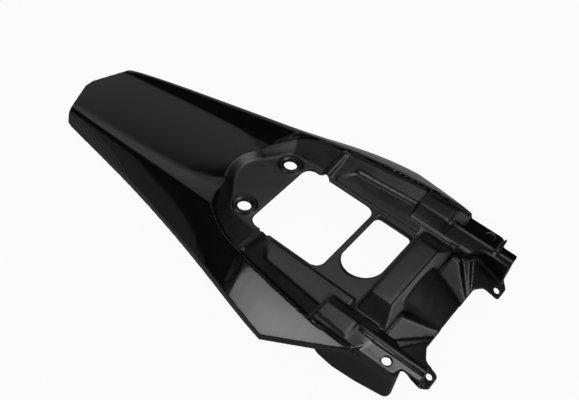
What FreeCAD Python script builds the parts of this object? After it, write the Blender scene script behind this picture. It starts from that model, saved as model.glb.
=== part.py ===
import FreeCAD, Part
import os
import re

import Sketcher
from FreeCAD import Rotation, Vector

# Motorcycle rear fender, one moulded skin in millimetres.
# X is across, +Y runs back to the tail tip, +Z is up and the tray's shelf is at Z = 0.
# The origin lies midway between the two boss holes of the shelf.

# Cross-sections of the hull, tail tip first. "crease" bounds the sunken middle panel, "ridge" is the
# shoulder line, "brow" is the skirt's outer edge and "flange" is how far the edge turns down there.
STATION_MEASURES = ("y", "crease_x", "crease_z", "ridge_x", "ridge_z", "brow_x", "brow_z", "flange")
STATIONS = {
    "tip": (318, 43, -39.5, 49.5, -41.5, 58, -47, 4),
    "tail": (170, 51.5, -14, 69, -8, 87.5, -33, 9),
    "bend": (85, 51, 0, 78, 7, 107.5, -24, 10.5),
    "lip": (45, 49.5, 7, 82.5, 13.5, 118, -21.5, 10),
    "shoulder": (15, 48, 12, 86, 17.5, 126.5, -18.5, 10.5),
    "skirt": (-122, 44, 20, 112, 20.5, 163.5, -16, 10),
    "prow": (-240, 44, 19, 118, 19.5, 160, -16, 10),
}

SIZES = {
    # moulding
    "wall": 3,
    "ridge_bevel": 3,
    "through": 60,
    # plan outline of the hull
    "tip_reach": 312.5,
    "tip_round": 18,
    "tip_corner_x": 53,
    "tip_corner_y": 289,
    "apex_x": 163.5,
    "apex_y": -122,
    "nose_x": 127,
    "nose_y": -216,
    "nose_edge_z": 12,
    "edge_fall": 9.5,
    "outside": 240,
    # basin of the tray, rim at the top and foot at the floor
    "basin_depth": 10,
    "rim_lip_x": 33.5,
    "rim_lip_y": 45,
    "rim_lip_bend": 45,
    "rim_shoulder_x": 83,
    "rim_shoulder_y": 18.5,
    "rim_waist_x": 109,
    "rim_waist_y": -46,
    "rim_waist_bend": 128,
    "rim_front_x": 127,
    "rim_front_y": -165,
    "rim_front_bend": 1000,
    "foot_lip_x": 33,
    "foot_lip_y": 28,
    "foot_lip_bend": 48,
    "foot_shoulder_x": 61,
    "foot_shoulder_y": 7,
    "foot_side_x": 66,
    "foot_waist_bend": 150,
    "foot_round": 6,
    "basin_front": -240,
    # openings in the tray
    "opening_half": 59.5,
    "opening_rear": -18,
    "opening_front": -120.5,
    "opening_round": 13,
    "hatch_rear": -128,
    "hatch_front": -178,
    "hatch_far": 52.5,
    "hatch_near": 37,
    "hatch_near_y": -149,
    "hatch_front_x": -12,
    "hatch_rear_x": -20,
    "hatch_front_bend": 29,
    "hatch_rear_bend": 22,
    "hatch_round": 6,
    "hatch_lip": 5,
    "hatch_lip_depth": 2.4,
    # side pockets
    "pocket_floor": 2,
    "pocket_inner_x": 75,
    "pocket_end_y": -60,
    "pocket_rear_x": 93,
    "pocket_rear_y": -69,
    "pocket_front_x": 101,
    "pocket_front_y": -155,
    "step_rear": -57,
    "step_front": -176,
    # flutes that stiffen the tray beside the opening, and the notch at their foot
    "flute_round": 5.5,
    "flute_y": -43,
    "flute_wall": 2,
    "flute_inner_x": 62.5,
    "flute_inner_z": -2.8,
    "flute_outer_x": 103,
    "flute_outer_z": 5,
    "notch_half": 62.5,
    "notch_long": 13,
    # beds at the front of the tray, each with a raised pad behind its rail
    "bed_rear": -157,
    "bed_front": -225,
    "bed_thick": 6,
    "bed_outer_x": 124,
    "bed_outer_z": 13.5,
    "pad_rise": 2.2,
    "pad_inner_x": 83,
    "pad_outer_x": 118,
    "pad_front_y": -200,
    "pad_round": 2,
    # cross bridge
    "bridge_half": 50.6,
    "bridge_rear": -186,
    "bridge_front": -213,
    "bridge_top": 11.7,
    "bridge_foot_half": 80,
    "bridge_foot_rear": -183,
    "bridge_foot_front": -225,
    "bridge_foot_z": -1.5,
    "bridge_round": 3.5,
    # bosses
    "boss_half": 45,
    "boss_hole": 16.5,
    "boss_seat": 18.5,
    "boss_rim": 27,
    "boss_foot": 32,
    "boss_land": 1,
    "boss_top": 2,
    "boss_depth": 1.2,
    # front rails and bolt strips
    "rail_inner_x": 79.7,
    "rail_inner_z": 4.7,
    "rail_crest_x": 95,
    "rail_outer_x": 101,
    "rail_top": 14.5,
    "rail_cheek_x": 101,
    "rail_cheek_z": -9,
    "rail_rear": -206,
    "rail_heel_y": -230,
    "rail_neck_x": 88.5,
    "rail_neck_y": -253,
    "rail_front": -288.5,
    "rail_foot_x": 69,
    "rail_foot_z": -21,
    "rail_round": 15,
    "crest_round": 6,
    "neck_round": 12,
    "strip_outer": 122,
    "strip_top": 12,
    "strip_front": -262,
    "strip_round": 4,
    "strip_hole_x": 112.6,
    "strip_hole_y": -248.7,
    "strip_hole": 10.5,
    "stop_top": 17,
    "stop_front": -268,
    "nib_inner": 93,
    "nib_outer": 110.5,
    # apron between the rails, arched in the middle and folded twice on each side up to the tabs
    "apron_rear_y": -214,
    "apron_rear_z": -8.8,
    "apron_front_y": -269,
    "apron_slope": 0.116,
    "arch_rear_half": 43.5,
    "arch_rear_flank_x": 39.5,
    "arch_rear_flank_z": 0.5,
    "arch_rear_crown_x": 31,
    "arch_rear_crown_z": 6.6,
    "arch_front_half": 25,
    "arch_front_flank_x": 22,
    "arch_front_flank_z": -14.4,
    "arch_front_crown_x": 16.5,
    "arch_front_crown_z": -13.4,
    "arch_shoulder": 14,
    "arch_crown": 365,
    "fold_rear_y": -236,
    "fold_rear_inner": 73.3,
    "fold_rear_outer": 102,
    "fold_front_inner": 32.5,
    "fold_front_outer": 44.5,
    "fold_run": 4,
    "fold_reach": 60,
    # front tabs
    "tab_hole_x": 76.5,
    "tab_hole_y": -289.3,
    "tab_hole_z": -20.8,
    "tab_hole": 7.5,
    "tab_thick": 3,
    "tab_round": 5,
    "tab_root_x": 54,
    "tab_inner_x": 65,
    "tab_outer_x": 96,
    "tab_corner": 8,
    "tab_waist": -277,
    "tab_front": -297,
    "tab_slope": 0.4,
    # lower wings
    "wing_top": 7,
    "wing_rear": -138,
    "wing_rear_z": -14,
    "wing_heel_y": -172,
    "wing_heel_z": -50,
    "wing_low_y": -195,
    "wing_low_z": -54.5,
    "wing_front": -267,
    "wing_toe_z": -39.5,
    "wing_keel_y": -226,
    "wing_keel_z": -50.5,
    "wing_round": 9,
    "wing_roll": 6,
    "wing_roll_width": 9,
}
for station, values in STATIONS.items():
    for measure, value in zip(STATION_MEASURES, values):
        SIZES[f"{station}_{measure}"] = value

# How close an edge lies to the place, and to the direction, that it is picked by.
NEAR = 0.01
ALIGNED = 0.99

doc = FreeCAD.newDocument("rear_fender")
sheet = doc.addObject("Spreadsheet::Sheet", "Sizes")
for row, (alias, value) in enumerate(SIZES.items(), start=1):
    sheet.set(f"A{row}", alias)
    sheet.set(f"B{row}", str(value))
    sheet.setAlias(f"B{row}", alias)
doc.recompute()


def sized(text):
    """Expression text with every size name looked up in the sheet."""
    return re.sub(r"[a-z][a-z_]*", lambda m: f"Sizes.{m[0]}" if m[0] in SIZES else m[0], text)


def number(text):
    return float(sheet.evalExpression(sized(text)))


def bind(obj, **properties):
    """Bind properties to expressions; a double underscore stands for a dot."""
    for name, text in properties.items():
        obj.setExpression(name.replace("__", "."), sized(text))


def mirrored(half):
    """Close a half outline, given from the middle outwards and round, with its mirror image."""
    return half + [(f"-({x})", y) for x, y in reversed(half)]


def pin(sketch, geometry, end, kind, text):
    """Hold one end of a line or arc at a signed distance from the sketch's origin."""
    value = number(text)
    if abs(value) < NEAR:
        axis = -2 if kind == "DistanceX" else -1
        sketch.addConstraint(Sketcher.Constraint("PointOnObject", geometry, end, axis))
        return
    if value > 0:
        constraint = Sketcher.Constraint(kind, -1, 1, geometry, end, value)
    else:
        constraint = Sketcher.Constraint(kind, geometry, end, -1, 1, -value)
        text = f"-({text})"
    index = sketch.addConstraint(constraint)
    sketch.setExpression(f"Constraints[{index}]", sized(text))


def outline(name, points, arcs=None):
    """Closed sketch through points; arcs gives the radius and bulge of the side that leaves a point."""
    arcs = arcs or {}
    sketch = doc.addObject("Sketcher::SketchObject", name)
    spots = [Vector(number(x), number(y), 0) for x, y in points]
    ends = []
    for i, start in enumerate(spots):
        stop = spots[(i + 1) % len(spots)]
        if i not in arcs:
            sketch.addGeometry(Part.LineSegment(start, stop))
            ends.append((1, 2))
            continue
        text, side = arcs[i]
        radius = number(text)
        chord = stop - start
        left = Vector(-chord.y, chord.x, 0).normalize()
        rise = radius - (radius**2 - chord.Length**2 / 4) ** 0.5
        middle = (start + stop) / 2 + left * rise * side
        sketch.addGeometry(Part.Arc(start, middle, stop))
        ends.append((2, 1) if side > 0 else (1, 2))
    for i, (first, last) in enumerate(ends):
        after = (i + 1) % len(ends)
        sketch.addConstraint(Sketcher.Constraint("Coincident", i, last, after, ends[after][0]))
    for i, (x, y) in enumerate(points):
        pin(sketch, i, ends[i][0], "DistanceX", x)
        pin(sketch, i, ends[i][0], "DistanceY", y)
    for i, (text, _) in arcs.items():
        index = sketch.addConstraint(Sketcher.Constraint("Radius", i, number(text)))
        sketch.setExpression(f"Constraints[{index}]", sized(text))
    return sketch


def across(sketch, y):
    """Stand a sketch up in a cross-section plane, sketch X across and sketch Y up."""
    sketch.Placement.Rotation = Rotation(Vector(1, 0, 0), 90)
    bind(sketch, Placement__Base__y=y)
    return sketch


def along(sketch, x):
    """Stand a sketch up in a lengthwise plane, sketch X along and sketch Y up."""
    sketch.Placement.Rotation = Rotation(Vector(1, 1, 1), 120)
    bind(sketch, Placement__Base__x=x)
    return sketch


def level(sketch, z):
    bind(sketch, Placement__Base__z=z)
    return sketch


def extrude(name, sketch, length):
    solid = doc.addObject("Part::Extrusion", name)
    solid.Base = sketch
    solid.DirMode = "Normal"
    solid.Solid = True
    bind(solid, LengthFwd=length)
    return solid


def loft(name, sketches, ruled=False):
    solid = doc.addObject("Part::Loft", name)
    solid.Sections = sketches
    solid.Solid = True
    solid.Ruled = ruled
    return solid


def block(name, x0, x1, y0, y1, z0, z1):
    solid = doc.addObject("Part::Box", name)
    bind(solid, Length=f"({x1}) - ({x0})", Width=f"({y1}) - ({y0})", Height=f"({z1}) - ({z0})")
    bind(solid, Placement__Base__x=x0, Placement__Base__y=y0, Placement__Base__z=z0)
    return solid


def cylinder(name, x, y, z0, z1, diameter):
    solid = doc.addObject("Part::Cylinder", name)
    bind(solid, Radius=f"({diameter}) / 2", Height=f"({z1}) - ({z0})")
    bind(solid, Placement__Base__x=x, Placement__Base__y=y, Placement__Base__z=z0)
    return solid


def cone(name, x, y, z0, z1, low, high):
    solid = doc.addObject("Part::Cone", name)
    bind(solid, Radius1=f"({low}) / 2", Radius2=f"({high}) / 2", Height=f"({z1}) - ({z0})")
    bind(solid, Placement__Base__x=x, Placement__Base__y=y, Placement__Base__z=z0)
    return solid


def cut(name, base, tool):
    solid = doc.addObject("Part::Cut", name)
    solid.Base = base
    solid.Tool = tool
    return solid


def fuse(name, shapes):
    solid = doc.addObject("Part::MultiFuse", name)
    solid.Shapes = shapes
    return solid


def common(name, shapes):
    solid = doc.addObject("Part::MultiCommon", name)
    solid.Shapes = shapes
    return solid


def mirror(solid):
    twin = doc.addObject("Part::Mirroring", f"{solid.Name}_twin")
    twin.Source = solid
    twin.Normal = (1, 0, 0)
    return twin


def upright(edge):
    return abs(edge.tangentAt(edge.FirstParameter).z) > ALIGNED


def crossing(edge):
    return abs(edge.tangentAt(edge.FirstParameter).x) > ALIGNED


def lengthwise(edge):
    direction = edge.tangentAt(edge.FirstParameter)
    return abs(direction.y) > max(abs(direction.x), abs(direction.z))


def broken(kind, solid, width, chosen):
    """Round or bevel the edges of a solid that the function chosen picks."""
    doc.recompute()
    soft = doc.addObject(kind, f"{solid.Name}_soft")
    soft.Base = solid
    size = number(width)
    edges = enumerate(solid.Shape.Edges, start=1)
    soft.Edges = [(index, size, size) for index, edge in edges if chosen(edge)]
    return soft


def rounded(solid, radius, chosen):
    return broken("Part::Fillet", solid, radius, chosen)


def bevelled(solid, width, chosen):
    return broken("Part::Chamfer", solid, width, chosen)


def runs_from(*spot):
    """Picks the edges that run lengthwise from a given point of the tail end, on either side."""
    place = [number(text) for text in spot]

    def chosen(edge):
        ends = [(abs(v.X), v.Y, v.Z) for v in edge.Vertexes]
        near = any(max(abs(a - b) for a, b in zip(end, place)) < NEAR for end in ends)
        return near and lengthwise(edge)

    return chosen


def lies_at(x, z):
    """Picks the edges that run lengthwise at one place of a cross-section."""
    place = (number(x), number(z))

    def chosen(edge):
        ends = [(v.X, v.Z) for v in edge.Vertexes]
        return all(max(abs(a - b) for a, b in zip(end, place)) < NEAR for end in ends)

    return chosen


def hull(name, inset, foot):
    """Tail blade and skirts as one solid; inset shrinks it and foot lets its open side run lower."""
    sections = []
    for station in STATIONS:
        measure = {key: f"{station}_{key}" for key in STATION_MEASURES}
        half = [
            (measure["crease_x"], f"{measure['crease_z']} - {inset}"),
            (f"{measure['ridge_x']} - {inset} / 2", f"{measure['ridge_z']} - {inset}"),
            (f"{measure['brow_x']} - {inset}", f"{measure['brow_z']} - {inset} / 2"),
            (f"{measure['brow_x']} - {inset}", f"{measure['brow_z']} - {measure['flange']} - {foot}"),
        ]
        section = outline(f"{name}_{station}", mirrored(half))
        sections.append(across(section, measure["y"]))
    return loft(name, sections)


def plan(name, inset, front):
    """Plan outline of the hull: the pointed tip, and the skirts' slanted front edges."""
    tip_slope = "(tip_reach - tip_corner_y) / tip_corner_x"
    edge_slope = "(apex_x - nose_x) / (apex_y - nose_y)"
    half = [
        ("0", f"tip_reach - {inset}"),
        ("outside", f"tip_reach - {inset} - outside * {tip_slope}"),
        ("outside", f"apex_y + {inset} + (outside - apex_x) / ({edge_slope})"),
        (f"nose_x - {inset} + ({front} - nose_y) * {edge_slope}", front),
    ]
    points = half + [(f"-({x})", y) for x, y in reversed(half[1:])]
    prism = extrude(name, level(outline(f"{name}_sketch", points), "-through"), "2 * through")
    return rounded(prism, "tip_round", lambda edge: upright(edge) and abs(edge.Vertexes[0].X) < NEAR)


def basin(name, grow):
    """Sloping sides of the tray, as a loft, and the straight well above them; grow thickens both."""
    rim = [
        (f"rim_lip_x + {grow} / 2", f"rim_lip_y + {grow}"),
        (f"rim_shoulder_x + {grow}", f"rim_shoulder_y + {grow}"),
        (f"rim_waist_x + {grow}", "rim_waist_y"),
        (f"rim_front_x + {grow}", "rim_front_y"),
        (f"rim_front_x + {grow}", "basin_front"),
    ]
    foot = [
        (f"foot_lip_x + {grow} / 2", f"foot_lip_y + {grow}"),
        (f"foot_shoulder_x + {grow} / 2", f"foot_shoulder_y + {grow}"),
        (f"foot_side_x + {grow} / 2", "rim_waist_y"),
        (f"foot_side_x + {grow} / 2", "rim_front_y"),
        (f"foot_side_x + {grow} / 2", "basin_front"),
    ]
    last = 2 * len(rim) - 1
    rim_arcs = {
        1: ("rim_waist_bend", 1),
        2: ("rim_front_bend", 1),
        last - 3: ("rim_front_bend", 1),
        last - 2: ("rim_waist_bend", 1),
        last: ("rim_lip_bend", 1),
    }
    foot_arcs = {
        1: ("foot_waist_bend", 1),
        last - 2: ("foot_waist_bend", 1),
        last: ("foot_lip_bend", 1),
    }
    low = level(outline(f"{name}_foot", mirrored(foot), foot_arcs), f"-{grow}")
    high = level(outline(f"{name}_rim", mirrored(rim), rim_arcs), "basin_depth")
    well = extrude(f"{name}_well", high, "through")
    return loft(f"{name}_slope", [low, high], ruled=True), well


def foot_line(edge):
    """Whether an edge lies in the tray's foot line, at the shelf's level."""
    front = number("basin_front")
    shelf = all(abs(v.Z) < NEAR for v in edge.Vertexes)
    return shelf and any(v.Y - front > NEAR for v in edge.Vertexes)


def edge_trim():
    """Space under the skirts' slanted front edges, which keeps their turned-down flange narrow."""
    points = [
        ("apex_y", "skirt_brow_z - edge_fall"),
        ("nose_y", "nose_edge_z - edge_fall"),
        ("basin_front", "nose_edge_z - edge_fall"),
        ("basin_front", "-2 * through"),
        ("apex_y", "-2 * through"),
    ]
    return extrude("edge_trim", along(outline("edge_trim_sketch", points), "-outside"), "2 * outside")


def pocket(name, grow, floor, top):
    """One side pocket of the tray as a solid; grow thickens it outwards."""
    points = [
        (f"foot_side_x - {grow}", f"pocket_end_y + {grow}"),
        (f"pocket_inner_x + {grow}", f"pocket_end_y + {grow}"),
        (f"pocket_rear_x + {grow}", f"pocket_rear_y + {grow}"),
        (f"pocket_front_x + {grow}", f"pocket_front_y - {grow}"),
        (f"foot_side_x - {grow}", f"pocket_front_y - {grow}"),
    ]
    return extrude(name, level(outline(f"{name}_sketch", points), floor), f"({top}) - ({floor})")


def skin():
    """Hull skin with the tray sunk into it."""
    outside = hull("hull", "0", "0")
    outside = bevelled(outside, "ridge_bevel", runs_from("tip_ridge_x", "tip_y", "tip_ridge_z"))
    inside = hull("hollow", "wall", "wall")
    solid = common("hull_cut", [outside, plan("plan", "0", "nose_y")])
    void = common("hollow_cut", [inside, plan("plan_in", "wall", "basin_front")])
    shell = cut("shell_trimmed", cut("shell", solid, void), edge_trim())
    walls = pocket("pocket_walls", "wall", "pocket_floor - wall", "basin_depth")
    tray = fuse("tray_block", [*basin("basin_out", "wall"), walls, mirror(walls)])
    block = fuse("skin_block", [shell, common("tray_cut", [tray, solid])])
    slope, well = basin("basin", "0")
    return cut("skin", block, fuse("basin", [rounded(slope, "foot_round", foot_line), well]))


def step():
    """Floor of a side pocket, a small step above the shelf."""
    outer = "pocket_inner_x + wall"
    return block("step", "foot_side_x", outer, "step_front", "step_rear", "-wall", "pocket_floor")


def flute_rod(name, radius, run):
    """Round rod along a flute, from its inner end."""
    slope = "(flute_outer_z - flute_inner_z) / (flute_outer_x - flute_inner_x)"
    rod = doc.addObject("Part::Cylinder", name)
    rod.Placement.Rotation = Rotation(Vector(0, 1, 0), 90)
    bind(rod, Radius=radius, Height=run)
    bind(rod, Placement__Rotation__Angle=f"90 deg - atan({slope})")
    bind(rod, Placement__Base__x="flute_inner_x", Placement__Base__y="flute_y")
    bind(rod, Placement__Base__z="flute_inner_z")
    return rod


def flute():
    """Half-round rib that climbs the tray's side beside the opening."""
    rod = flute_rod("flute_rod", "flute_round", "flute_outer_x - flute_inner_x")
    rear = "flute_y + flute_round"
    front = "flute_y - flute_round"
    room = block("flute_room", "flute_inner_x", "flute_outer_x", front, rear, "-wall", "through")
    return common("flute_rib", [rod, room])


def carved(name, corners, section, rear, front, soft=()):
    """A solid with the given plan outline and cross-section; soft gives corners of it and their radii."""
    flat = level(outline(f"{name}_plan_sketch", corners), "-through")
    standing = across(outline(f"{name}_section", section), f"{rear} + wall")
    prism = extrude(f"{name}_plan", flat, "2 * through")
    run = extrude(f"{name}_run", standing, f"{rear} - ({front}) + 2 * wall")
    for corner, radius in soft:
        run = rounded(run, radius, lies_at(*section[corner]))
    return common(name, [prism, run])


def bed():
    """Bed between a side pocket and the front of the tray, with its slanted front edge."""
    corners = [
        ("rail_inner_x", "bed_rear"),
        ("bed_outer_x", "bed_rear"),
        ("bed_outer_x", "nose_y"),
        ("rail_outer_x", "bed_front"),
        ("rail_inner_x", "bed_front"),
    ]
    section = [
        ("rail_inner_x", "rail_inner_z"),
        ("rail_crest_x", "rail_top - pad_rise"),
        ("bed_outer_x", "bed_outer_z"),
        ("bed_outer_x", "bed_outer_z - bed_thick"),
        ("rail_inner_x", "rail_inner_z - bed_thick"),
    ]
    return carved("bed", corners, section, "bed_rear", "bed_front", [(1, "crest_round")])


def pad():
    """Raised pad on the bed, right in front of the pocket."""
    corners = [
        ("pad_inner_x", "bed_rear"),
        ("pad_outer_x - wall", "bed_rear"),
        ("pad_outer_x", "pad_front_y"),
        ("pad_inner_x", "pad_front_y"),
    ]
    section = [
        ("rail_inner_x", "rail_inner_z"),
        ("rail_crest_x", "rail_top"),
        ("bed_outer_x", "bed_outer_z + pad_rise / 2"),
        ("bed_outer_x", "bed_outer_z - bed_thick / 2"),
        ("rail_inner_x", "rail_inner_z - bed_thick / 2"),
    ]
    solid = carved("pad", corners, section, "bed_rear", "pad_front_y - wall", [(1, "crest_round")])
    low = number("rail_inner_z")
    rear = number("bed_rear") - NEAR

    def upper(edge):
        return not lengthwise(edge) and all(v.Z > low and v.Y < rear for v in edge.Vertexes)

    return rounded(solid, "pad_round", upper)


def bridge(name, inset, foot):
    """Raised cross bridge in front of the hatch; inset shrinks it for its hollow."""
    low = [
        (f"bridge_foot_half - {inset}", f"bridge_foot_rear - {inset}"),
        (f"bridge_foot_half - {inset}", f"bridge_foot_front + {inset}"),
    ]
    high = [
        (f"bridge_half - {inset} / 2", f"bridge_rear - {inset}"),
        (f"bridge_half - {inset} / 2", f"bridge_front + {inset}"),
    ]
    bottom = level(outline(f"{name}_low", mirrored(low)), foot)
    top = level(outline(f"{name}_high", mirrored(high)), f"bridge_top - {inset}")
    return loft(name, [bottom, top], ruled=True)


def above_foot(edge):
    """Whether an edge of the bridge rises above its foot."""
    return any(v.Z > number("bridge_foot_z") + NEAR for v in edge.Vertexes)


def apron_z(y):
    """Height of the flat apron at a place along it."""
    return f"apron_rear_z + ({y} - apron_rear_y) * apron_slope"


def tab_z(y):
    """Height of the tabs' plane at a place along it."""
    return f"tab_hole_z + ({y} - tab_hole_y) * tab_slope"


def arch_section(name, end, inset, y):
    """Cross-section of the apron's arch at its rear or front end."""
    half = [
        (f"arch_{end}_half - {inset}", f"{apron_z(f'apron_{end}_y')} - wall - {inset}"),
        (f"arch_{end}_flank_x - {inset}", f"arch_{end}_flank_z - {inset} / 2"),
        (f"arch_{end}_crown_x - {inset} / 2", f"arch_{end}_crown_z - {inset}"),
    ]
    bends = {1: ("arch_shoulder", -1), 2: ("arch_crown", -1), 3: ("arch_shoulder", -1)}
    return across(outline(f"{name}_{end}", mirrored(half), bends), y)


def arch(name, inset, reach):
    """Arch that falls from the bridge to the front edge; reach runs it past both ends."""
    rear = arch_section(name, "rear", inset, f"apron_rear_y + {reach}")
    front = arch_section(name, "front", inset, f"apron_front_y - {reach}")
    return loft(name, [rear, front], ruled=True)


def apron():
    """Flat sheet between the rails with the arch over it, and the wall that joins it to the bridge."""
    side = [
        ("apron_rear_y", apron_z("apron_rear_y")),
        ("apron_front_y", apron_z("apron_front_y")),
        ("apron_front_y", f"{apron_z('apron_front_y')} - wall"),
        ("apron_rear_y", f"{apron_z('apron_rear_y')} - wall"),
    ]
    flat = extrude("apron_flat", along(outline("apron_side", side), "-rail_inner_x"), "2 * rail_inner_x")
    front = "bridge_foot_front"
    rear = f"{front} + wall"
    riser = block("apron_riser", "-rail_inner_x", "rail_inner_x", front, rear, apron_z(front), "bridge_foot_z")
    body = fuse("apron_body", [flat, riser, arch("arch", "0", "0")])
    return cut("apron", body, arch("arch_in", "wall", "wall"))


def fold_section(end, inner, outer):
    """Cross-section of the two folds that climb from the apron to the plane of a tab."""
    y = f"fold_{end}_y" if end == "rear" else "apron_front_y"
    low = apron_z(y)
    high = tab_z(y)
    middle = f"(({low}) + ({high})) / 2"
    top = [
        (inner, low),
        (f"{inner} + fold_run", middle),
        (f"{outer} - fold_run", middle),
        (outer, high),
        (f"{outer} + fold_reach", high),
    ]
    bottom = [(x, f"{z} - wall") for x, z in reversed(top)]
    return across(outline(f"fold_{end}", top + bottom), y)


def folds():
    """Twice folded sheet between the apron, a rail's neck and the tab."""
    rear = fold_section("rear", "fold_rear_inner", "fold_rear_outer")
    front = fold_section("front", "fold_front_inner", "fold_front_outer")
    corners = [
        ("0", "apron_front_y"),
        ("rail_neck_x + wall / 2", "apron_front_y"),
        ("rail_neck_x + wall / 2", "rail_neck_y"),
        ("rail_foot_x + wall / 2", "rail_heel_y"),
        ("0", "rail_heel_y"),
    ]
    prism = extrude("fold_plan", level(outline("fold_plan_sketch", corners), "-through"), "2 * through")
    return common("folds", [prism, loft("fold_sheet", [rear, front], ruled=True)])


def rail():
    """Front rail: a tent-shaped channel, open below, whose inner wall steps round the tab."""
    corners = [
        ("rail_foot_x", "rail_rear"),
        ("rail_outer_x", "rail_rear"),
        ("rail_outer_x", "rail_front"),
        ("rail_neck_x", "rail_front"),
        ("rail_neck_x", "rail_neck_y"),
        ("rail_foot_x", "rail_heel_y"),
    ]
    section = [
        ("rail_foot_x", "rail_foot_z"),
        ("rail_inner_x", "rail_inner_z"),
        ("rail_crest_x", "rail_top"),
        ("rail_outer_x", "rail_top"),
        ("rail_outer_x", "strip_top - wall"),
        ("rail_cheek_x", "rail_cheek_z"),
        ("tab_outer_x", "rail_foot_z"),
    ]
    hollow_corners = [
        ("rail_foot_x + wall", "rail_rear + wall"),
        ("strip_outer", "rail_rear + wall"),
        ("strip_outer", "rail_front + wall"),
        ("rail_neck_x + wall", "rail_front + wall"),
        ("rail_neck_x + wall", "rail_neck_y + wall / 2"),
        ("rail_foot_x + wall", "rail_heel_y + wall / 2"),
    ]
    hollow_section = [
        ("rail_foot_x + wall", "rail_foot_z - wall"),
        ("rail_inner_x + wall", "rail_inner_z - wall / 2"),
        ("rail_crest_x + wall / 2", "rail_top - wall"),
        ("rail_outer_x - wall", "rail_top - wall"),
        ("rail_outer_x - wall", "strip_top - wall / 2"),
        ("strip_outer", "strip_top - 2 * wall"),
        ("strip_outer", "rail_foot_z - wall"),
    ]
    soft = [(1, "rail_round"), (2, "crest_round")]
    solid = carved("rail", corners, section, "rail_rear", "rail_front", soft)
    turns = [number("rail_neck_y"), number("rail_heel_y")]

    def turn(edge):
        return upright(edge) and any(abs(edge.Vertexes[0].Y - y) < NEAR for y in turns)

    hollow = carved("rail_in", hollow_corners, hollow_section, "rail_rear", "rail_front", soft[:1])
    return cut("rail_shell", rounded(solid, "neck_round", turn), hollow)


def tab():
    """Sloping front tab inside the rail's neck."""
    rear = "apron_front_y + wall"
    points = [
        ("tab_root_x", rear),
        ("tab_root_x", "apron_front_y - wall / 3"),
        ("tab_inner_x", "tab_waist"),
        ("tab_inner_x + wall", "tab_front"),
        ("tab_outer_x - tab_corner", "tab_front"),
        ("tab_outer_x", "rail_front"),
        ("tab_outer_x", rear),
    ]
    plate = extrude("tab_plan", level(outline("tab_sketch", points), "-through"), "2 * through")
    ahead = number("apron_front_y - wall")
    plate = rounded(plate, "tab_round", lambda edge: upright(edge) and edge.Vertexes[0].Y < ahead)
    front = "tab_front - wall"
    side = [
        (rear, tab_z(rear)),
        (front, tab_z(front)),
        (front, f"{tab_z(front)} - tab_thick"),
        (rear, f"{tab_z(rear)} - tab_thick"),
    ]
    slab = extrude("tab_slab", along(outline("tab_side", side), "tab_root_x - wall"), "outside")
    return common("tab", [plate, slab])


def wing_plate(name, inset, inner, outer):
    """Plate of a lower side wall between two places across; inset draws its lower edges in."""
    points = [
        ("wing_rear", "wing_top"),
        ("nose_y", "wing_top"),
        ("nose_y", "strip_top - wall / 2"),
        (f"wing_front + {inset}", "strip_top - wall / 2"),
        (f"wing_front + {inset}", f"wing_toe_z + {inset}"),
        ("wing_keel_y", f"wing_keel_z + {inset}"),
        ("wing_low_y", f"wing_low_z + {inset}"),
        (f"wing_heel_y - {inset} / 2", f"wing_heel_z + {inset}"),
        (f"wing_rear - {inset}", f"wing_rear_z + {inset} / 2"),
    ]
    sketch = along(outline(f"{name}_sketch", points), inner)
    plate = extrude(name, sketch, f"({outer}) - ({inner})")
    low = number("wing_rear_z")
    return rounded(plate, "wing_round", lambda edge: crossing(edge) and edge.Vertexes[0].Z < low - NEAR)


def wing():
    """Lower side wall under the front of the tray, whose lower edge is rolled inwards."""
    plate = wing_plate("wing", "0", "strip_outer - wing_roll_width", "strip_outer")
    outer = number("strip_outer") - NEAR
    low = number("wing_rear_z") + NEAR

    def lower_edge(edge):
        return all(v.X > outer for v in edge.Vertexes) and any(v.Z < low for v in edge.Vertexes)

    hollow = wing_plate("wing_in", "wall", "strip_outer - wing_roll_width - wall", "strip_outer - wall")
    return cut("wing_shell", rounded(plate, "wing_roll", lower_edge), hollow)


def strip():
    """Bolt strip beside a rail, which narrows to a nib at its front end."""
    inner = "rail_outer_x - wall"
    points = [
        (inner, "nose_y + wall"),
        ("strip_outer", "nose_y + wall"),
        ("strip_outer", "strip_front"),
        ("nib_outer", "strip_front - wall"),
        ("nib_outer", "rail_front"),
        ("nib_inner", "rail_front"),
        ("nib_inner", "strip_front"),
        (inner, "strip_front"),
    ]
    plate = extrude("strip", level(outline("strip_sketch", points), "strip_top - wall"), "wall")
    ahead = number("nose_y")
    side = number(inner) + NEAR

    def outer_corner(edge):
        return upright(edge) and edge.Vertexes[0].X > side and edge.Vertexes[0].Y < ahead

    return rounded(plate, "strip_round", outer_corner)


def stop():
    """Standing plate at the front end of the strip on the +X side."""
    rear = "stop_front + wall"
    return block("stop", "nib_inner", "strip_outer - wall", "stop_front", rear, "strip_top - wall", "stop_top")


def side_pieces():
    """What the skin carries on one side."""
    boss = cone("boss", "boss_half", "0", "-wall / 2", "boss_top", "boss_foot", "boss_rim")
    return [step(), flute(), bed(), pad(), rail(), strip(), folds(), tab(), wing(), boss]


def side_cuts():
    """Holes and hollows of one side."""
    bore = cylinder("boss_bore", "boss_half", "0", "-through", "through", "boss_hole")
    seat = "boss_top - boss_depth"
    dish = cone("boss_dish", "boss_half", "0", seat, "boss_top", "boss_seat", "boss_rim - 2 * boss_land")
    strip_hole = cylinder("strip_bore", "strip_hole_x", "strip_hole_y", "-through", "through", "strip_hole")
    tab_hole = cylinder("tab_bore", "tab_hole_x", "tab_hole_y", "-through", "0", "tab_hole")
    flute_run = "(flute_outer_x - flute_inner_x) / 2"
    flute_bore = flute_rod("flute_bore", "flute_round - flute_wall", flute_run)
    recess = pocket("pocket", "0", "pocket_floor", "through")
    return [recess, flute_bore, bore, dish, strip_hole, tab_hole]


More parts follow.
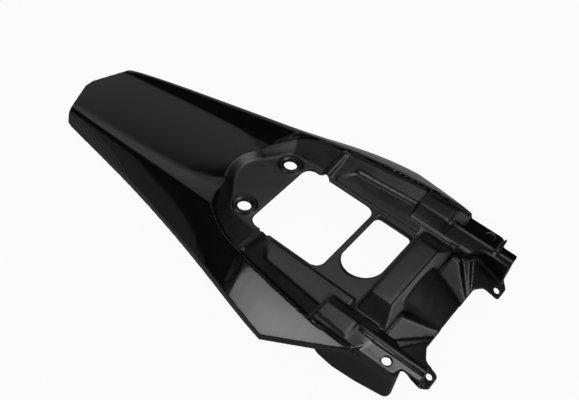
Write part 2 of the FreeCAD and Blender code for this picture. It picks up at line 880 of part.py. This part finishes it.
def hatch_outline(name, grow, z):
    """Outline of the hatch in the tray's floor, round on one side; grow widens it for its lip."""
    points = [
        (f"hatch_far + {grow}", "hatch_rear"),
        (f"hatch_far + {grow}", "hatch_front"),
        ("hatch_front_x", "hatch_front"),
        (f"-hatch_near - {grow}", "hatch_near_y"),
        ("hatch_rear_x", "hatch_rear"),
    ]
    bends = {2: (f"hatch_front_bend + {grow}", 1), 3: (f"hatch_rear_bend + {grow}", 1)}
    return level(outline(name, points, bends), z)


def hatch():
    """Hatch right through the tray's floor."""
    prism = extrude("hatch", hatch_outline("hatch_sketch", "0", "-through"), "2 * through")
    far = number("hatch_far") - NEAR
    return rounded(prism, "hatch_round", lambda edge: upright(edge) and edge.Vertexes[0].X > far)


def hatch_lip():
    """Sloping lip round the hatch."""
    low = hatch_outline("hatch_lip_low", "0", "-hatch_lip_depth")
    high = hatch_outline("hatch_lip_high", "hatch_lip", "0")
    return loft("hatch_lip_cut", [low, high], ruled=True)


def openings():
    """The two openings through the tray's floor."""
    main = [("opening_half", "opening_rear"), ("opening_half", "opening_front")]
    window = extrude("opening", level(outline("opening_sketch", mirrored(main)), "-through"), "2 * through")
    rear = "flute_y + notch_long / 2"
    front = "flute_y - notch_long / 2"
    notch = block("notch", "-notch_half", "notch_half", front, rear, "-through", "through")
    return [
        rounded(window, "opening_round", upright),
        rounded(notch, "wall", upright),
        hatch(),
        hatch_lip(),
    ]


base = skin()
half = side_pieces()
arch_bridge = rounded(bridge("bridge", "0", "bridge_foot_z"), "bridge_round", above_foot)
parts = [base, arch_bridge, apron(), stop()] + half + [mirror(piece) for piece in half]
whole = fuse("whole", parts)
bores = side_cuts()
cuts = openings() + [bridge("bridge_in", "wall", "-2 * wall")] + bores + [mirror(bore) for bore in bores]
body = cut("body", whole, fuse("cuts", cuts))
doc.recompute()
body.Label = "rear_fender"

for obj in doc.Objects:
    if "Invalid" in obj.State or "Error" in obj.State:
        raise RuntimeError(f"{obj.Label}: {obj.State}")
shape = body.Shape
if shape.isNull() or not shape.isValid():
    raise RuntimeError("the fender's shape is not valid")
os.makedirs("parts", exist_ok=True)
shape.exportStep("parts/rear_fender.step")
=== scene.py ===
import math

import bmesh
import bpy
import numpy as np
from mathutils import Matrix, Vector


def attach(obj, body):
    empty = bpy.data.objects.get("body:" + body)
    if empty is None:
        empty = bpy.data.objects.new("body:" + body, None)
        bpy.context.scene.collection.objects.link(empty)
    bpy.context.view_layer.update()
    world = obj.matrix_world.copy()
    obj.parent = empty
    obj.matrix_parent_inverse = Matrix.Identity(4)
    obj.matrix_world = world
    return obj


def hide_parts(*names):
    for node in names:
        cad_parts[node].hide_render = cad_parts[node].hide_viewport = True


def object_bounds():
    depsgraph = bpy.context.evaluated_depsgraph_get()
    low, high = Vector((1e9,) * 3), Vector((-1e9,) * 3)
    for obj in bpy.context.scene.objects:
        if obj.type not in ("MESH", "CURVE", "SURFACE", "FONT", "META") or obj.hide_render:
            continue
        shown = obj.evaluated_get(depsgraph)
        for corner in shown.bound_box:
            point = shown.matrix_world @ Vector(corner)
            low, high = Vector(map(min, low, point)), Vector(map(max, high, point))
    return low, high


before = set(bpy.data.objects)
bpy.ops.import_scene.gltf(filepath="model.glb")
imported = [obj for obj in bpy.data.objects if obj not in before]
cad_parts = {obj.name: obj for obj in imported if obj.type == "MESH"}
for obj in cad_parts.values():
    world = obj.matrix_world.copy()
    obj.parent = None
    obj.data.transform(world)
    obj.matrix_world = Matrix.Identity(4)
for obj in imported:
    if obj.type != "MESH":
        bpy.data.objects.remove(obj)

CAD_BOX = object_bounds()
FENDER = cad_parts["rear_fender"]
FENDER_TIP = CAD_BOX[1].y

# Photograph's frame and the view it was taken from, in pixels, metres and degrees.
PHOTO_WIDTH = 579
FOCAL_PIXELS = 884
SENSOR_MM = 36
CAMERA_PLACE = Vector((-0.6081, -0.3781, 0.8040))
CAMERA_AIM = Vector((0.5701, 0.3230, -0.7554))
CAMERA_ROLL_DEG = 11.07
CAMERA_NEAREST = 0.01

# Floor, and how much of pure white the camera sees on it beside its own lit colour.
FLOOR_SIZE = 40
FLOOR_COLOUR = (0.50, 0.50, 0.50, 1)
FLOOR_ROUGHNESS = 0.9
FLOOR_WHITE = 0.95

# Tent round the stage: dark, with a paler band low down on its left. The camera looks through it.
TENT_RADIUS = 5
TENT_SECTORS = 48
TENT_RINGS = 24
TENT_DARK = 0.012
TENT_BAND = 0.18
TENT_BAND_HEIGHT = math.sin(math.radians(17))
TENT_BAND_EDGE = 0.01
TENT_SIDE_EDGE = 0.2

# Soft glows on the tent, in degrees: turn from the tail towards +X, height, how far each glow is full and
# where it ends; and its level.
TENT_GLOWS = {
    "far": (46, 18, 12, 30, 0.34),
    "front": (180, 25, 15, 45, 0.30),
    "top": (0, 90, 8, 18, 0.30),
}

# Softboxes: place, what they face, width, height and power; and how bright their middle and corners are.
SOFTBOXES = {
    "left_softbox": ((-1.31, 0.43, 1.13), (-0.13, -0.13, 0), 1.15, 1.0, 13.0),
    "right_softbox": ((0.67, -0.40, 1.46), (-0.05, -0.25, 0), 1.0, 0.47, 5.6),
    "tray_softbox": ((0.80, 0.42, 1.40), (-0.05, -0.10, 0), 0.5, 0.5, 1.1),
    "edge_softbox": ((0.90, -1.55, 0.44), (0, -0.22, 0), 0.3, 0.5, 2.2),
}
SOFTBOX_CENTRE = (0.5, 0.5, 0)
SOFTBOX_MIDDLE = 1.5
SOFTBOX_CORNER = 0.5
SOFTBOX_CORNER_AWAY = 0.7

# Lines of the hull at its stations, front first: y, crease x, ridge x and z, brow x and z.
CREASE, RIDGE_X, RIDGE_Z, BROW_X, BROW_Z = range(1, 6)
HULL_LINES = np.array([
    (-0.240, 0.0440, 0.1180, 0.0195, 0.1600, -0.0160),
    (-0.122, 0.0440, 0.1120, 0.0205, 0.1635, -0.0160),
    (0.015, 0.0480, 0.0860, 0.0175, 0.1265, -0.0185),
    (0.045, 0.0495, 0.0825, 0.0135, 0.1180, -0.0215),
    (0.085, 0.0510, 0.0780, 0.0070, 0.1075, -0.0240),
    (0.170, 0.0515, 0.0690, -0.0080, 0.0875, -0.0330),
    (0.318, 0.0430, 0.0495, -0.0415, 0.0580, -0.0470),
])

# Half width of the tray's rim from front to rear. Its last three points, taken from the middle outwards,
# are the lip.
RIM_Y = (-0.217, -0.216, -0.165, -0.046, -0.012, 0.0185, 0.045, 0.060)
RIM_HALF = (0.103, 0.127, 0.127, 0.109, 0.1005, 0.083, 0.0335, 0.0)
LIP_Y = RIM_Y[:-4:-1]
LIP_HALF = RIM_HALF[:-4:-1]
LIP_FADE = 0.015

# Width of the glossy line inside the rim, and how far a face leans down before it counts as underside.
RIM_GLOSS = 0.0025
DOWNWARD = 0.2

# Extra thickness under the tray, where it fades out, and the level below which it isn't added.
TRAY_EXTRA = 0.0012
TRAY_FADE = 0.003
TRAY_BOTTOM = -0.015

# Soft forms of the moulding: the crowned middle panel that ends in a tongue at the lip, and the full skirts.
TONGUE_Y = (0.045, 0.057, 0.085)
TONGUE_HALF = (0.033, 0.042, 0.050)
CROWN_Y = (0.045, 0.170, 0.310)
CROWN_RISE = (0.0028, 0.0014, 0.0005)
SKIRT_BULGE = 0.0012
SKIRT_DEPTH = 0.008

# Mesh of the moulding: how near points are welded, its cells, how much walls are swollen while they are
# meshed, and the triangles kept.
WELD = 1e-6
CELL = 0.0011
SWELL = 0.0006
TRIANGLES = 190000

# Smoothing passes: for all edges before and after the swelling is taken back, for the middle panel, for the
# rounder forms and for the tray's rim.
EDGE_PASSES = 3
LAST_PASSES = 3
PANEL_PASSES = 60
ROUND_PASSES = 25
RIM_PASSES = 40

# Where the passes work: the panel's margin, the slant of the tip's edge, the rim's width, and how far across
# and along the part each rounder form lies.
PANEL_MARGIN = 0.006
TIP_SLOPE = 0.443
RIM_ROUND = 0.007
ROUND_FADE = 0.004
ROUND_FORMS = {
    "bridge": (-ROUND_FADE, 0.078, -0.224, -0.186),
    "arch": (-ROUND_FADE, 0.046, -0.262, -0.224),
    "bed": (0.082, 0.120, -0.212, -0.152),
    "pocket": (0.072, 0.112, -0.157, -0.055),
    "rail": (0.080, 0.101, -0.275, -0.215),
    "tip_corner": (0.046, 0.070, 0.276, 0.320),
}

# Plastic: its darker and lighter tint, and pairs of values for its glossy and satin parts. Clouds vary the
# tint and roughness, waves and grain are relief in metres, and scales are in cycles a metre.
DARK_PLASTIC = (0.00245, 0.00245, 0.00259, 1)
LIGHT_PLASTIC = (0.00455, 0.00455, 0.00481, 1)
ROUGHNESS = (0.09, 0.30)
ROUGHNESS_SPREAD = (0.03, 0.12)
WAVE_DEPTH = (0.00004, 0.0003)
GRAIN_DEPTH = (0.0, 0.00006)
GRAIN_STRENGTH = 0.5
CLOUD_MIDDLE = 0.5
CLOUD_SCALE = 38
CLOUD_DETAIL = 3
WAVE_SCALE = 40
WAVE_DETAIL = 1
GRAIN_SCALE = 1400
GRAIN_DETAIL = 2


def add_camera():
    """Camera at the photograph's place, with its slight roll."""
    data = bpy.data.cameras.new("camera")
    data.sensor_fit = "HORIZONTAL"
    data.sensor_width = SENSOR_MM
    data.lens = FOCAL_PIXELS / PHOTO_WIDTH * SENSOR_MM
    data.clip_start = CAMERA_NEAREST
    camera = bpy.data.objects.new("camera", data)
    bpy.context.scene.collection.objects.link(camera)
    turn = CAMERA_AIM.to_track_quat("-Z", "Y").to_matrix()
    roll = Matrix.Rotation(math.radians(CAMERA_ROLL_DEG), 3, "Z")
    camera.matrix_world = Matrix.Translation(CAMERA_PLACE) @ (turn @ roll).to_4x4()
    bpy.context.scene.camera = camera


class Nodes:
    """Short calls for one node tree."""

    def __init__(self, tree):
        self.tree = tree

    def add(self, kind, **settings):
        node = self.tree.nodes.new(f"ShaderNode{kind}")
        for name, value in settings.items():
            setattr(node, name, value)
        return node

    def link(self, source, target):
        self.tree.links.new(source, target)

    def feed(self, target, value):
        """Sets an input to a constant, or links it to another node's output."""
        if isinstance(value, bpy.types.NodeSocket):
            self.link(value, target)
        else:
            target.default_value = value

    def math(self, operation, first, second=0.0):
        node = self.add("Math", operation=operation)
        self.feed(node.inputs[0], first)
        self.feed(node.inputs[1], second)
        return node.outputs[0]

    def ramp(self, value, low, high, to_low=0.0, to_high=1.0, kind="LINEAR"):
        """Maps a value's range to another one, clamped."""
        node = self.add("MapRange", interpolation_type=kind)
        for slot, part in zip(node.inputs, (value, low, high, to_low, to_high)):
            self.feed(slot, part)
        return node.outputs[0]

    def noise(self, place, scale, detail):
        node = self.add("TexNoise")
        self.link(place, node.inputs["Vector"])
        node.inputs["Scale"].default_value = scale
        node.inputs["Detail"].default_value = detail
        return node.outputs["Fac"]


def material_with(name):
    material = bpy.data.materials.new(name)
    material.use_nodes = True
    return material, Nodes(material.node_tree)


def add_mesh(name, mesh):
    piece = bpy.data.objects.new(name, mesh)
    bpy.context.scene.collection.objects.link(piece)
    return piece


def floor_material():
    """Pale floor that shows nearly white to the camera, with only a trace of the part's shadow."""
    material, nodes = material_with("floor")
    paint = material.node_tree.nodes["Principled BSDF"]
    paint.inputs["Base Color"].default_value = FLOOR_COLOUR
    paint.inputs["Roughness"].default_value = FLOOR_ROUGHNESS
    paint.inputs["Specular IOR Level"].default_value = 0
    glow = nodes.add("Emission")
    path = nodes.add("LightPath")
    mix = nodes.add("MixShader")
    nodes.link(nodes.math("MULTIPLY", path.outputs["Is Camera Ray"], FLOOR_WHITE), mix.inputs[0])
    nodes.link(paint.outputs[0], mix.inputs[1])
    nodes.link(glow.outputs[0], mix.inputs[2])
    nodes.link(mix.outputs[0], material.node_tree.nodes["Material Output"].inputs["Surface"])
    return material


def add_floor():
    mesh = bpy.data.meshes.new("floor")
    half = FLOOR_SIZE / 2
    low = CAD_BOX[0].z
    corners = [(-half, -half, low), (half, -half, low), (half, half, low), (-half, half, low)]
    mesh.from_pydata(corners, [], [(0, 1, 2, 3)])
    mesh.materials.append(floor_material())
    add_mesh("floor", mesh)


def glow_level(nodes, aim, compass, height, narrow, wide, level):
    """Light of one glow where the tent is seen in the direction aim; angles in degrees."""
    compass, height, narrow, wide = (math.radians(angle) for angle in (compass, height, narrow, wide))
    flat = math.cos(height)
    near = nodes.add("VectorMath", operation="DOT_PRODUCT")
    nodes.link(aim, near.inputs[0])
    near.inputs[1].default_value = (math.sin(compass) * flat, math.cos(compass) * flat, math.sin(height))
    return nodes.ramp(near.outputs["Value"], math.cos(wide), math.cos(narrow), 0.0, level, "SMOOTHSTEP")


def tent_material():
    """Dim studio walls: dark, with a paler band low down on the left and a few soft glows."""
    material, nodes = material_with("tent")
    place = nodes.add("NewGeometry")
    aim = nodes.add("VectorMath", operation="NORMALIZE")
    nodes.link(place.outputs["Position"], aim.inputs[0])
    parts = nodes.add("SeparateXYZ")
    nodes.link(aim.outputs[0], parts.inputs[0])
    low = TENT_BAND_HEIGHT - TENT_BAND_EDGE
    high = TENT_BAND_HEIGHT + TENT_BAND_EDGE
    left = nodes.ramp(parts.outputs["X"], -TENT_SIDE_EDGE, TENT_SIDE_EDGE, 1.0, 0.0)
    band = nodes.math("MULTIPLY", nodes.ramp(parts.outputs["Z"], low, high, TENT_BAND, 0.0), left)
    total = nodes.math("ADD", band, TENT_DARK)
    for glow in TENT_GLOWS.values():
        total = nodes.math("ADD", total, glow_level(nodes, aim.outputs[0], *glow))
    shine = nodes.add("Emission")
    nodes.link(total, shine.inputs["Strength"])
    nodes.link(shine.outputs[0], material.node_tree.nodes["Material Output"].inputs["Surface"])
    return material


def add_tent():
    """Sphere round the stage that the camera looks through."""
    mesh = bpy.data.meshes.new("tent")
    shape = bmesh.new()
    bmesh.ops.create_uvsphere(shape, u_segments=TENT_SECTORS, v_segments=TENT_RINGS, radius=TENT_RADIUS)
    shape.to_mesh(mesh)
    shape.free()
    mesh.materials.append(tent_material())
    tent = add_mesh("tent", mesh)
    tent.visible_camera = False


def add_softbox(name, place, aim, width, height, power):
    """Area lamp that is brighter in its middle than at its corners."""
    data = bpy.data.lights.new(name, "AREA")
    data.shape = "RECTANGLE"
    data.size = width
    data.size_y = height
    data.energy = power
    data.use_nodes = True
    nodes = Nodes(data.node_tree)
    place_on_box = nodes.add("NewGeometry").outputs["Parametric"]
    away = nodes.add("VectorMath", operation="DISTANCE")
    nodes.link(place_on_box, away.inputs[0])
    away.inputs[1].default_value = SOFTBOX_CENTRE
    level = nodes.ramp(away.outputs["Value"], 0, SOFTBOX_CORNER_AWAY, SOFTBOX_MIDDLE, SOFTBOX_CORNER)
    nodes.link(level, data.node_tree.nodes["Emission"].inputs["Strength"])
    lamp = bpy.data.objects.new(name, data)
    bpy.context.scene.collection.objects.link(lamp)
    lamp.location = place
    lamp.rotation_euler = (Vector(aim) - Vector(place)).to_track_quat("-Z", "Y").to_euler()


def add_world():
    """White backdrop outside the tent."""
    world = bpy.data.worlds.new("studio")
    world.use_nodes = True
    background = world.node_tree.nodes["Background"]
    background.inputs["Color"].default_value = (1, 1, 1, 1)
    background.inputs["Strength"].default_value = 1
    bpy.context.scene.world = world


def evaluated(piece):
    """Mesh of a piece with its modifiers applied."""
    graph = bpy.context.evaluated_depsgraph_get()
    mesh = bpy.data.meshes.new_from_object(piece.evaluated_get(graph))
    bpy.data.objects.remove(piece)
    return mesh


def vertex_values(mesh, kind):
    """Places ("co") or directions ("normal") of a mesh's points, one row a point."""
    values = np.empty(len(mesh.vertices) * 3)
    mesh.vertices.foreach_get(kind, values)
    return values.reshape(-1, 3)


def keep_largest_body(mesh):
    """Drops the bubbles that the cells leave inside the walls."""
    shape = bmesh.new()
    shape.from_mesh(mesh)
    left = set(shape.verts)
    bodies = []
    while left:
        body = [left.pop()]
        for vertex in body:
            near = {edge.other_vert(vertex) for edge in vertex.link_edges} & left
            left -= near
            body.extend(near)
        bodies.append(body)
    bodies.sort(key=len)
    for body in bodies[:-1]:
        bmesh.ops.delete(shape, geom=body, context="VERTS")
    shape.to_mesh(mesh)
    shape.free()


def push_out(piece, distance):
    """Adds a step that moves a piece's surface outwards."""
    step = piece.modifiers.new("push_out", "DISPLACE")
    step.mid_level = 0
    step.strength = distance


def remeshed():
    """Even fine mesh of the whole fender, swollen so that no thin wall is lost."""
    mesh = FENDER.data.copy()
    shape = bmesh.new()
    shape.from_mesh(mesh)
    bmesh.ops.remove_doubles(shape, verts=shape.verts, dist=WELD)
    shape.to_mesh(mesh)
    shape.free()
    piece = add_mesh("cells", mesh)
    push_out(piece, SWELL)
    cells = piece.modifiers.new("cells", "REMESH")
    cells.mode = "VOXEL"
    cells.voxel_size = CELL
    mesh = evaluated(piece)
    keep_largest_body(mesh)
    return mesh


def smooth_step(value):
    value = np.clip(value, 0, 1)
    return value * value * (3 - 2 * value)


def hull_line(y, column):
    return np.interp(y, HULL_LINES[:, 0], HULL_LINES[:, column])


def inside_rim(points):
    """How far inside the tray's rim each point lies, across the part."""
    return np.interp(points[:, 1], RIM_Y, RIM_HALF) - np.abs(points[:, 0])


def underside(facing):
    return smooth_step(-facing[:, 2] / DOWNWARD - 1)


def thicken_tray(points, facing):
    """Lowers the tray's underside a little: its thin slopes stay closed when their edges are softened."""
    share = underside(facing) * smooth_step(inside_rim(points) / TRAY_FADE + 1)
    share *= smooth_step((points[:, 1] - RIM_Y[0]) / TRAY_FADE)
    share *= smooth_step((points[:, 2] - TRAY_BOTTOM) / TRAY_FADE)
    points[:, 2] -= TRAY_EXTRA * share


def behind_lip(points):
    """One behind the tray's lip, fading to nothing just inside it."""
    lip = np.interp(np.abs(points[:, 0]), LIP_HALF, LIP_Y)
    return smooth_step((points[:, 1] - lip) / LIP_FADE + 1)


def crown_panel(points):
    """Crowns the middle panel: its creases sink, and they turn inwards to a tongue at the lip."""
    across = np.abs(points[:, 0])
    y = points[:, 1]
    crease = np.minimum(hull_line(y, CREASE), np.interp(y, TONGUE_Y, TONGUE_HALF, right=1))
    ridge = hull_line(y, RIDGE_X)
    inner = (across / crease) ** 2
    outer = np.clip((ridge - across) / (ridge - crease), 0, 1) ** 2
    fall = np.interp(y, CROWN_Y, CROWN_RISE) * behind_lip(points)
    points[:, 2] -= fall * np.where(across < crease, inner, outer)


def fill_skirts(points):
    """Bulges the skirts a little between ridge and brow."""
    y = points[:, 1]
    ridge = np.stack([hull_line(y, RIDGE_X), hull_line(y, RIDGE_Z)], axis=1)
    run = np.stack([hull_line(y, BROW_X), hull_line(y, BROW_Z)], axis=1) - ridge
    length = np.linalg.norm(run, axis=1)
    away = np.stack([-run[:, 1], run[:, 0]], axis=1) / length[:, None]
    offset = np.stack([np.abs(points[:, 0]), points[:, 2]], axis=1) - ridge
    share = np.clip((offset * run).sum(axis=1) / length ** 2, 0, 1)
    depth = (offset * away).sum(axis=1)
    skin = smooth_step(2 - np.abs(depth) / SKIRT_DEPTH)
    push = SKIRT_BULGE * 4 * share * (1 - share) * skin
    points[:, 0] += np.sign(points[:, 0]) * push * away[:, 0]
    points[:, 2] += push * away[:, 1]


def panel_share(points):
    """One on the middle panel and its bands, fading out before the ridges, the tip's edge and the lip."""
    across = np.abs(points[:, 0])
    y = points[:, 1]
    share = smooth_step((hull_line(y, RIDGE_X) - across) / PANEL_MARGIN - 1)
    share *= smooth_step((FENDER_TIP - TIP_SLOPE * across - y) / PANEL_MARGIN - 1)
    return share * smooth_step((y - np.interp(across, LIP_HALF, LIP_Y)) / PANEL_MARGIN - 1)


def round_share(points):
    """One on the rounder forms, fading out round them."""
    across = np.abs(points[:, 0])
    y = points[:, 1]
    share = np.zeros(len(points))
    for inner, outer, front, rear in ROUND_FORMS.values():
        reach = np.minimum.reduce([across - inner, outer - across, y - front, rear - y])
        share = np.maximum(share, smooth_step(reach / ROUND_FADE))
    return share


def rim_share(points):
    """One along the tray's rim, fading out on both sides."""
    share = smooth_step((RIM_ROUND - np.abs(inside_rim(points))) / ROUND_FADE)
    return share * smooth_step((points[:, 1] - RIM_Y[1]) / ROUND_FADE)


def soften(piece, name, passes, share=None):
    """Adds smoothing passes to a piece, or only to the points that have a share."""
    step = piece.modifiers.new(name, "SMOOTH")
    step.iterations = passes
    if share is None:
        return
    group = piece.vertex_groups.new(name=name)
    for index in np.flatnonzero(share > 0):
        group.add([int(index)], float(share[index]), "REPLACE")
    step.vertex_group = name


def shaped(mesh):
    """Gives the mesh the soft forms of the moulding, and thins it."""
    points = vertex_values(mesh, "co")
    thicken_tray(points, vertex_values(mesh, "normal"))
    crown_panel(points)
    fill_skirts(points)
    mesh.vertices.foreach_set("co", points.ravel())
    piece = add_mesh("shaped", mesh)
    soften(piece, "edges", EDGE_PASSES)
    soften(piece, "panel", PANEL_PASSES, panel_share(points))
    soften(piece, "round", ROUND_PASSES, round_share(points))
    push_out(piece, -SWELL)
    soften(piece, "rim", RIM_PASSES, rim_share(points))
    soften(piece, "last", LAST_PASSES)
    thin = piece.modifiers.new("thin", "DECIMATE")
    thin.ratio = TRIANGLES / (2 * len(mesh.polygons))
    return evaluated(piece)


def mark_satin(mesh):
    """Marks the tray, the front and the underside, which are satin; the outer hull is glossy."""
    inside = smooth_step(inside_rim(vertex_values(mesh, "co")) / RIM_GLOSS - 1)
    below = underside(vertex_values(mesh, "normal"))
    satin = mesh.attributes.new("satin", "FLOAT", "POINT")
    satin.data.foreach_set("value", np.maximum(inside, below).astype(np.float32))


def plastic_tint(nodes, cloud):
    """Black that varies a little from cloud to cloud."""
    tint = nodes.add("MixRGB")
    nodes.link(cloud, tint.inputs[0])
    tint.inputs[1].default_value = DARK_PLASTIC
    tint.inputs[2].default_value = LIGHT_PLASTIC
    return tint.outputs[0]


def plastic_roughness(nodes, satin, cloud):
    """Roughness of the glossy and satin parts, a little uneven from cloud to cloud."""
    spread = nodes.ramp(satin, 0, 1, *ROUGHNESS_SPREAD)
    uneven = nodes.math("MULTIPLY", nodes.math("SUBTRACT", cloud, CLOUD_MIDDLE), spread)
    return nodes.math("ADD", nodes.ramp(satin, 0, 1, *ROUGHNESS), uneven)


def plastic_relief(nodes, satin, place):
    """Slight waves of a moulded skin, and the fine grain of its satin parts."""
    wave = nodes.add("Bump")
    wave.inputs["Strength"].default_value = 1
    nodes.link(nodes.ramp(satin, 0, 1, *WAVE_DEPTH), wave.inputs["Distance"])
    nodes.link(nodes.noise(place, WAVE_SCALE, WAVE_DETAIL), wave.inputs["Height"])
    grain = nodes.add("Bump")
    grain.inputs["Strength"].default_value = GRAIN_STRENGTH
    nodes.link(nodes.ramp(satin, 0, 1, *GRAIN_DEPTH), grain.inputs["Distance"])
    nodes.link(nodes.noise(place, GRAIN_SCALE, GRAIN_DETAIL), grain.inputs["Height"])
    nodes.link(wave.outputs[0], grain.inputs["Normal"])
    return grain.outputs[0]


def plastic_material():
    """Black moulded plastic: glossy outside, satin with a fine grain where the mould was textured."""
    material, nodes = material_with("fender_plastic")
    shader = material.node_tree.nodes["Principled BSDF"]
    place = nodes.add("TexCoord").outputs["Object"]
    satin = nodes.add("Attribute", attribute_name="satin").outputs["Fac"]
    cloud = nodes.noise(place, CLOUD_SCALE, CLOUD_DETAIL)
    nodes.link(plastic_tint(nodes, cloud), shader.inputs["Base Color"])
    nodes.link(plastic_roughness(nodes, satin, cloud), shader.inputs["Roughness"])
    nodes.link(plastic_relief(nodes, satin, place), shader.inputs["Normal"])
    return material


def add_fender():
    """Visual fender, which takes the place of the CAD one."""
    mesh = shaped(remeshed())
    mesh.shade_smooth()
    mark_satin(mesh)
    mesh.materials.clear()
    mesh.materials.append(plastic_material())
    piece = add_mesh("moulded_fender", mesh)
    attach(piece, "root")
    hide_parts("rear_fender")


bpy.context.scene.view_settings.view_transform = "Standard"
add_camera()
add_world()
add_floor()
add_tent()
for box_name, measures in SOFTBOXES.items():
    add_softbox(box_name, *measures)
add_fender()
